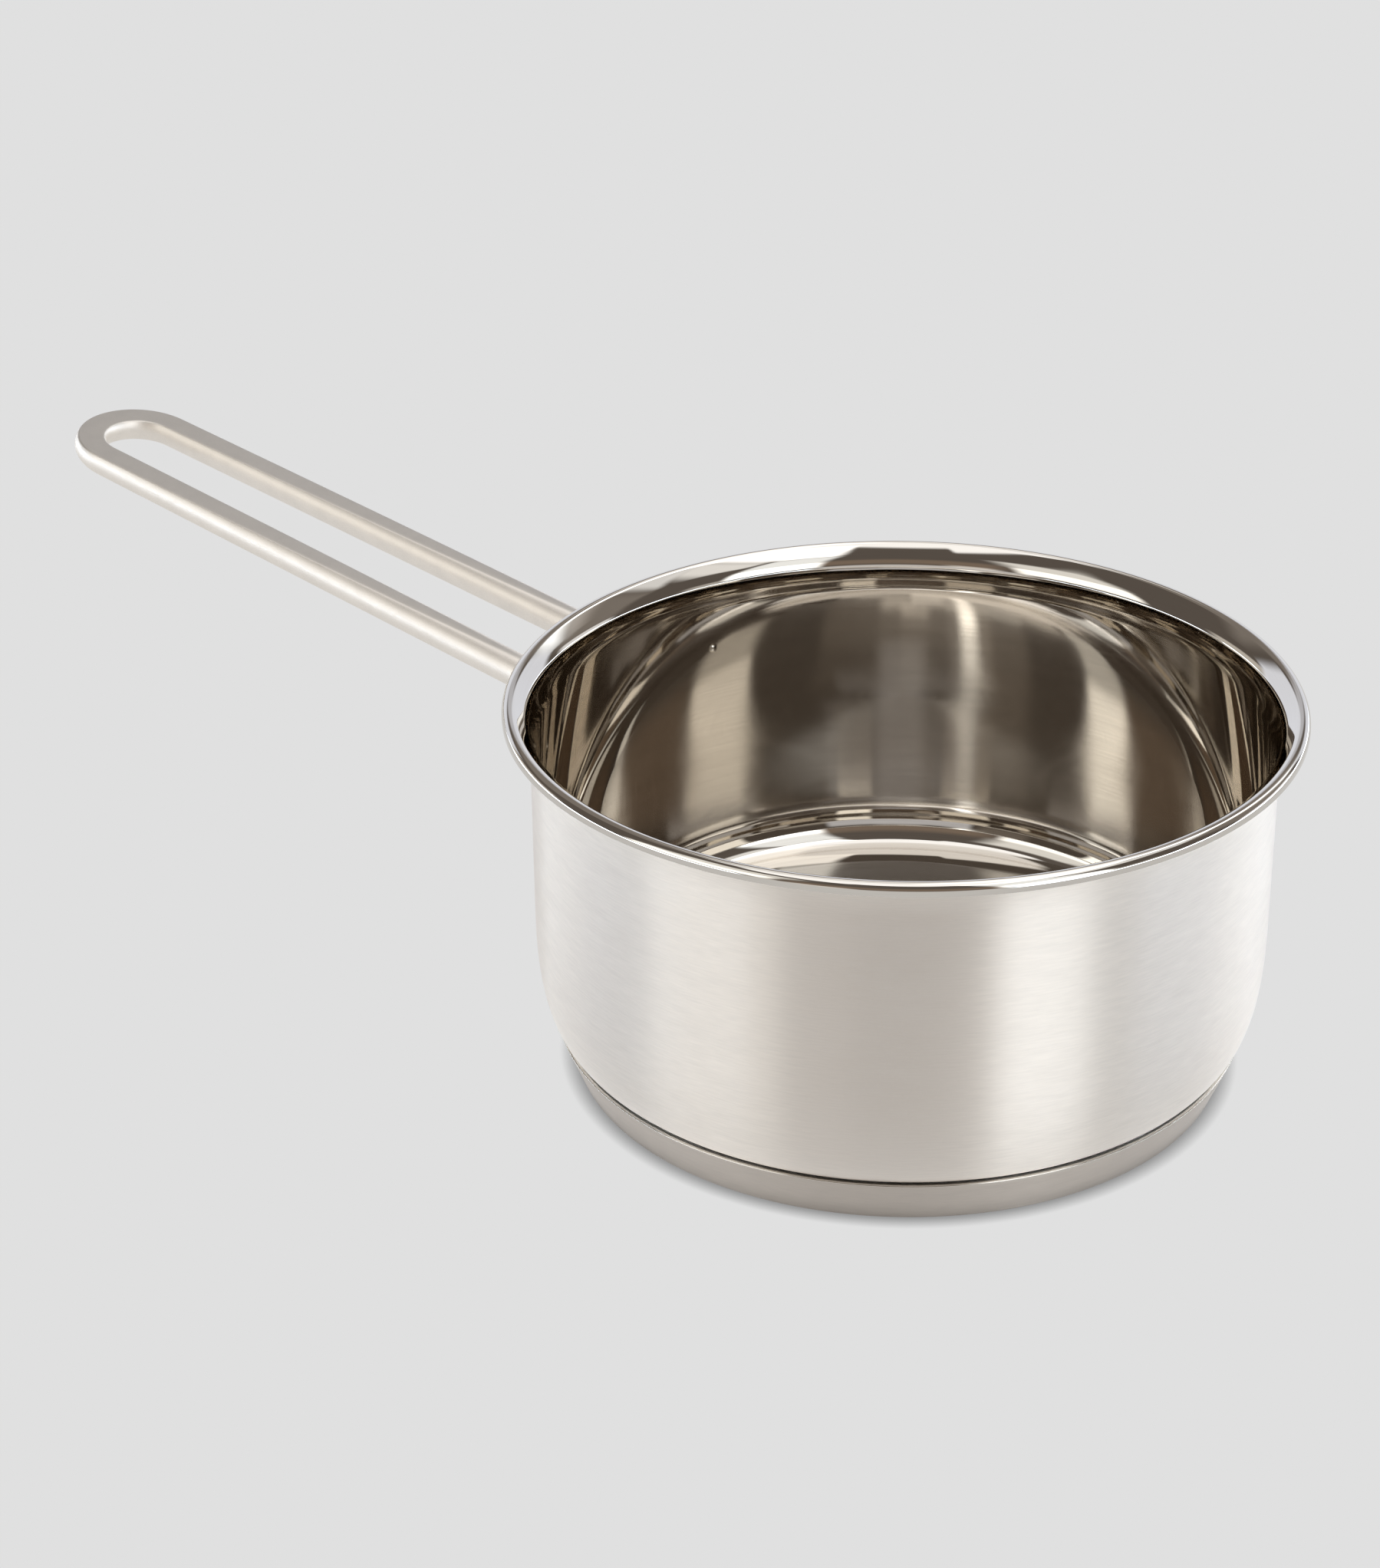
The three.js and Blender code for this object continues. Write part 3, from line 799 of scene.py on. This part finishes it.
# %% Grinding tree
def make_rod_tree():
    tree, nodes = new_geometry_tree(
        "ground_rod",
        [
            ("Sides", "NodeSocketInt", rod_sides),
            ("Rod Radius", "NodeSocketFloat", rod_radius * mm),
            ("Flat Height At Wall", "NodeSocketFloat", flat_at_wall * mm),
            ("Flat Height At Tip", "NodeSocketFloat", flat_at_tip * mm),
            ("Length", "NodeSocketFloat", handle_length * mm),
            ("Edge Rounding", "NodeSocketFloat", edge_rounding * mm),
            ("Root", "NodeSocketVector", (0.0, 0.0, 0.0)),
            ("Outward", "NodeSocketVector", (1.0, 0.0, 0.0)),
            ("Upward", "NodeSocketVector", (0.0, 0.0, 1.0)),
            ("Finish", "NodeSocketMaterial", None),
        ],
    )
    given = nodes.add("NodeGroupInput").outputs
    path = nodes.add("GeometryNodeMeshToCurve", {"Mesh": given["Geometry"]}).outputs[0]
    path, centre = capture(nodes, path, nodes.add("GeometryNodeInputPosition").outputs[0], "VECTOR")
    path, heading = capture(nodes, path, nodes.add("GeometryNodeInputTangent").outputs[0], "VECTOR")
    circle = {"Resolution": given["Sides"], "Radius": given["Rod Radius"]}
    ring = nodes.add("GeometryNodeCurvePrimitiveCircle", circle).outputs[0]
    ring, turn = capture(nodes, ring, nodes.add("GeometryNodeSplineParameter").outputs["Factor"], "FLOAT")
    sweep = {"Curve": path, "Profile Curve": ring, "Fill Caps": True}
    swept = nodes.add("GeometryNodeCurveToMesh", sweep).outputs[0]

    # Height of the ground plane over the centre line, at this distance from the wall
    reach = nodes.vector("DOT_PRODUCT", nodes.vector("SUBTRACT", centre, given["Root"]), given["Outward"])
    gone = nodes.math("DIVIDE", reach, given["Length"])
    fall = nodes.math("SUBTRACT", given["Flat Height At Wall"], given["Flat Height At Tip"])
    flat = nodes.math("SUBTRACT", given["Flat Height At Wall"], nodes.math("MULTIPLY", gone, fall))

    # Distance from the centre: the round rod or the plane, whichever is nearer
    angle = angle_from_top(nodes, turn, flat, given["Rod Radius"])
    cosine = nodes.math("COSINE", angle)
    to_plane = nodes.math("DIVIDE", flat, nodes.math("MAXIMUM", cosine, least_cosine))
    radius = nodes.math("SMOOTH_MIN", given["Rod Radius"], to_plane, given["Edge Rounding"])
    across = nodes.vector("CROSS_PRODUCT", heading, given["Upward"])
    upright = nodes.scale(given["Upward"], nodes.math("MULTIPLY", radius, cosine))
    sideways = nodes.scale(across, nodes.math("MULTIPLY", radius, nodes.math("SINE", angle)))
    place = nodes.vector("ADD", centre, nodes.vector("ADD", upright, sideways))

    # The plane slopes, so a vertex beside the centre line is set on it again
    from_root = nodes.vector("SUBTRACT", place, given["Root"])
    own_reach = nodes.vector("DOT_PRODUCT", from_root, given["Outward"])
    own_fall = nodes.math("MULTIPLY", nodes.math("DIVIDE", own_reach, given["Length"]), fall)
    own_flat = nodes.math("SUBTRACT", given["Flat Height At Wall"], own_fall)
    own_height = nodes.vector("DOT_PRODUCT", from_root, given["Upward"])
    proud = nodes.math("MAXIMUM", nodes.math("SUBTRACT", own_height, own_flat), 0.0)
    lowered = nodes.vector("SUBTRACT", place, nodes.scale(given["Upward"], proud))
    shaped = nodes.add("GeometryNodeSetPosition", {"Geometry": swept, "Position": lowered}).outputs[0]

    # How much of the flat a vertex is on, and how far along the rod, for the finish
    cut = nodes.math("DIVIDE", nodes.math("SUBTRACT", given["Rod Radius"], radius), ground_fade)
    cut = nodes.math("MINIMUM", nodes.math("MAXIMUM", cut, 0.0), 1.0)
    cut = nodes.math("MULTIPLY", cut, nodes.math("GREATER_THAN", cosine, 0.0))
    shaped = store(nodes, shaped, "ground_share", cut)
    shaped = store(nodes, shaped, "rod_reach", reach)
    end_geometry_tree(nodes, shaped, given["Finish"])
    return tree


rod_tree = make_rod_tree()
print("grinding nodes:", len(rod_tree.nodes))

# %% Handle loop
bend_radius, leg_spacing, handle_rise = 11.95, 26.6, math.radians(9.7)
leg_start, leg_steps, bend_steps = 0.2, 150, 72
plate_height, plate_drop, root_lift = 15.0, 1.3, 1.5
plate_middle = flare_start - plate_drop - plate_height / 2
handle_root = Vector((outer_radius, 0.0, plate_middle + root_lift)) * mm
handle_out = Vector((math.cos(handle_rise), 0.0, math.sin(handle_rise)))
handle_up = Vector((-math.sin(handle_rise), 0.0, math.cos(handle_rise)))
bend_centre = handle_length - rod_radius - bend_radius
leg_lean = math.atan((leg_spacing / 2 - bend_radius) / bend_centre)
bend_start = bend_centre + bend_radius * math.sin(leg_lean)


def handle_point(out, aside):
    """A place in the handle's own plane, in mm from the wall and from the middle."""
    return handle_root + handle_out * (out * mm) + Vector((0.0, aside * mm, 0.0))


def leg_side(out):
    """How far a leg is from the middle, at a distance from the wall."""
    return bend_radius * math.cos(leg_lean) + (bend_start - out) * math.tan(leg_lean)


def loop_points():
    leg = [leg_start + (bend_start - leg_start) * i / leg_steps for i in range(leg_steps)]
    near = [handle_point(out, leg_side(out)) for out in leg]
    sweep = math.pi - 2 * leg_lean
    angles = [quarter - leg_lean - sweep * i / bend_steps for i in range(bend_steps + 1)]
    tip = [handle_point(bend_centre + bend_radius * math.cos(a), bend_radius * math.sin(a)) for a in angles]
    return near + tip + [handle_point(out, -leg_side(out)) for out in reversed(leg)]


loop_path = bpy.data.meshes.new("loop_path")
path_points = loop_points()
loop_path.from_pydata(path_points, [(i, i + 1) for i in range(len(path_points) - 1)], [])
handle_settings = {"Root": handle_root, "Outward": handle_out, "Upward": handle_up, "Finish": handle_satin}
handle = run_tree("handle_loop_rod", loop_path, rod_tree, handle_settings)
print("handle volume, mm3:", round(face_outwards(handle.data)), "faces:", len(handle.data.polygons))
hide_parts("handle_loop")
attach(handle, "root")

# %% [markdown]
# ## The mounting plate
# A curved strip lies on the wall under the rim and spreads the handle's pull. It is laid
# out as a grid seen from the handle's side, with rounded corners, then pushed back onto
# the wall's cylinder. Its front edge is eased, and a strip of faces closes it to the back.

# %% Mounting plate
plate_thickness, plate_half_angle, plate_corner = 2.0, math.radians(27), 5.0
plate_gap, plate_back_gap, edge_round = 0.3, 0.03, 0.45
plate_columns, plate_rows, crisp_angle = 96, 24, math.radians(35)
plate_outer = outer_radius + plate_gap + plate_thickness
plate_inner = outer_radius + plate_back_gap
plate_reach = plate_outer * math.sin(plate_half_angle)


def plate_half_height(aside):
    past = max(abs(aside) - (plate_reach - plate_corner), 0.0)
    return plate_height / 2 - plate_corner + math.sqrt(max(plate_corner**2 - past**2, 0.0))


def eased_shares(count, power=1.8):
    """Shares from -1 to 1 that crowd towards both ends."""
    plain = [-1 + 2 * i / count for i in range(count + 1)]
    return [math.copysign(1 - (1 - abs(p)) ** power, p) for p in plain]


def finished_object(name, mesh, finish):
    """Turns a finished bmesh into a smooth-shaded object."""
    data = bpy.data.meshes.new(name)
    mesh.to_mesh(data)
    mesh.free()
    for face in data.polygons:
        face.use_smooth = True
    data.materials.append(finish)
    return add_object(name, data)


def plate_column(mesh, aside, rows, front):
    """One column of the plate's vertices, on its front or its back."""
    half = plate_half_height(aside)
    column = []
    for share in rows:
        inset = min(plate_reach - abs(aside), half * (1 - abs(share)))
        eased = min(inset, edge_round)
        drop = edge_round - math.sqrt(edge_round**2 - (edge_round - eased) ** 2)
        radius = plate_outer - drop if front else plate_inner
        out = math.sqrt(radius**2 - aside**2)
        column.append(mesh.verts.new((out * mm, aside * mm, (plate_middle + half * share) * mm)))
    return column


def make_plate():
    columns = [share * plate_reach for share in eased_shares(plate_columns)]
    rows = eased_shares(plate_rows)
    mesh = bmesh.new()
    front, back = (
        [plate_column(mesh, aside, rows, on_front) for aside in columns] for on_front in (True, False)
    )
    for layer in (front, back):
        for left, right in zip(layer, layer[1:]):
            for low_left, high_left, low_right, high_right in zip(left, left[1:], right, right[1:]):
                mesh.faces.new((low_left, low_right, high_right, high_left))
    border = [(i, 0) for i in range(plate_columns + 1)]
    border += [(plate_columns, j) for j in range(1, plate_rows + 1)]
    border += [(i, plate_rows) for i in range(plate_columns - 1, -1, -1)]
    border += [(0, j) for j in range(plate_rows - 1, 0, -1)]
    for (i, j), (next_i, next_j) in zip(border, border[1:] + border[:1]):
        mesh.faces.new((front[i][j], front[next_i][next_j], back[next_i][next_j], back[i][j]))
    bmesh.ops.recalc_face_normals(mesh, faces=mesh.faces)
    piece = finished_object("mounting_plate_strip", mesh, plate_satin)
    piece.data.set_sharp_from_angle(angle=crisp_angle)
    return piece


plate = make_plate()
print("plate volume, mm3:", round(face_outwards(plate.data)))
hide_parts("mounting_plate")
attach(plate, "root")

# %% [markdown]
# ## The welds
# A hand-laid bead of weld rings each leg. Its section is a hollow curve from the plate up
# to the leg, and the welder's small steps leave ripples, which a cosine round the leg makes.

# %% Leg welds
bead_width, bead_length, bead_ripples, ripple_depth, ripple_lean = 1.8, 2.4, 30, 0.07, 1.6
bead_steps, section_steps = 180, 12
slow_waves, slow_swell, quick_waves, quick_swell = 2, 0.10, 5, 0.06
bead_tuck, bead_sink = 0.5, 0.8
leg_sample = 60.0  # a second place on the leg, in mm from the wall, which gives its direction
both_sides = ((1, "left"), (-1, "right"))


def plate_distance(origin, direction):
    """How far along a direction a point reaches the plate's outer face, in mm."""
    a = direction.x**2 + direction.y**2
    b = origin.x * direction.x + origin.y * direction.y
    c = origin.x**2 + origin.y**2 - plate_outer**2
    return (-b + math.sqrt(b * b - a * c)) / a


def bead_section(start, along, outward, angle, swell):
    """The points of the bead's section at one angle round the leg, in mm."""
    ring = []
    for j in range(section_steps + 1):
        lean = quarter * j / section_steps
        wave = math.cos(bead_ripples * angle + ripple_lean * math.sin(lean))
        ripple = ripple_depth * wave * math.sin(2 * lean)
        base = start + outward * (rod_radius + bead_width * swell * (1 - math.sin(lean)) + ripple)
        climb = bead_length * swell * (1 - math.cos(lean)) + ripple
        ring.append(base + along * (plate_distance(base, along) + climb))
    tucked = start + outward * (rod_radius - bead_tuck)
    ring.append(tucked + along * (plate_distance(tucked, along) + bead_length * swell))
    ring.append(tucked + along * (plate_distance(tucked, along) - bead_sink))
    foot = start + outward * (rod_radius + bead_width * swell)
    ring.append(foot + along * (plate_distance(foot, along) - bead_sink))
    return ring


def make_bead(name, side):
    start = handle_point(0.0, side * leg_side(0.0)) / mm
    along = (handle_point(leg_sample, side * leg_side(leg_sample)) / mm - start).normalized()
    across = along.cross(handle_up).normalized()
    mesh = bmesh.new()
    rings = []
    for i in range(bead_steps):
        angle = math.tau * i / bead_steps
        outward = handle_up * math.cos(angle) + across * math.sin(angle)
        slow, quick = math.sin(slow_waves * angle + side), math.sin(quick_waves * angle)
        swell = 1 + slow_swell * slow + quick_swell * quick
        ring = bead_section(start, along, outward, angle, swell)
        rings.append([mesh.verts.new(point * mm) for point in ring])
    for first, second in zip(rings, rings[1:] + rings[:1]):
        for k in range(len(first)):
            after = (k + 1) % len(first)
            mesh.faces.new((first[k], first[after], second[after], second[k]))
    piece = finished_object(name, mesh, weld_metal)
    print(name, "volume, mm3:", round(face_outwards(piece.data)))
    return piece


for side, word in both_sides:
    bead = make_bead(word + "_weld_bead", side)
    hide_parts(word + "_leg_weld")
    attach(bead, "root")

# %% [markdown]
# ## Weld marks inside
# Behind each end of the mounting plate the inner wall shows a tiny pip, where the plate was
# spot welded. Each pip is a small turned dome with a low collar, laid onto the wall.

# %% Weld marks
pip_drop = 0.8
pip_level = plate_middle - pip_drop
pip_bearing = math.radians(23.3)
pip_sides = 40
pip_outline = [
    (0.0, 0.25), (0.12, 0.248), (0.25, 0.235), (0.38, 0.205), (0.49, 0.155), (0.58, 0.1),
    (0.66, 0.055), (0.76, 0.03), (0.9, 0.018), (1.1, 0.006), (1.3, -0.012), (1.3, -0.35), (0.0, -0.35),
]
for side, word in both_sides:
    pip = turn_piece(word + "_weld_mark", pip_outline, pip_sides, [inside_polish], [])
    turned_by = side * pip_bearing
    inward = Vector((-math.cos(turned_by), -math.sin(turned_by), 0.0))
    level_side = Vector((-inward.y, inward.x, 0.0))
    spot = Vector((0.0, 0.0, pip_level * mm)) - inward * inner_radius * mm
    turning = columns_matrix(level_side, inward.cross(level_side), inward)
    pip.data.transform(Matrix.Translation(spot) @ turning)
    print(word, "mark volume, mm3:", round(face_outwards(pip.data), 2))
    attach(pip, "root")

# %% [markdown]
# ## The sealed disc
# An aluminium disc fills the base cap and spreads the heat. The cap and the vessel close it
# in, so its plain shape from the frame is kept, and it only gets its own metal.

# %% Sealed core
core_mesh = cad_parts["base_core"].data
core_mesh.materials.clear()
core_mesh.materials.append(core_metal)
print("sealed disc:", len(core_mesh.polygons), "faces")
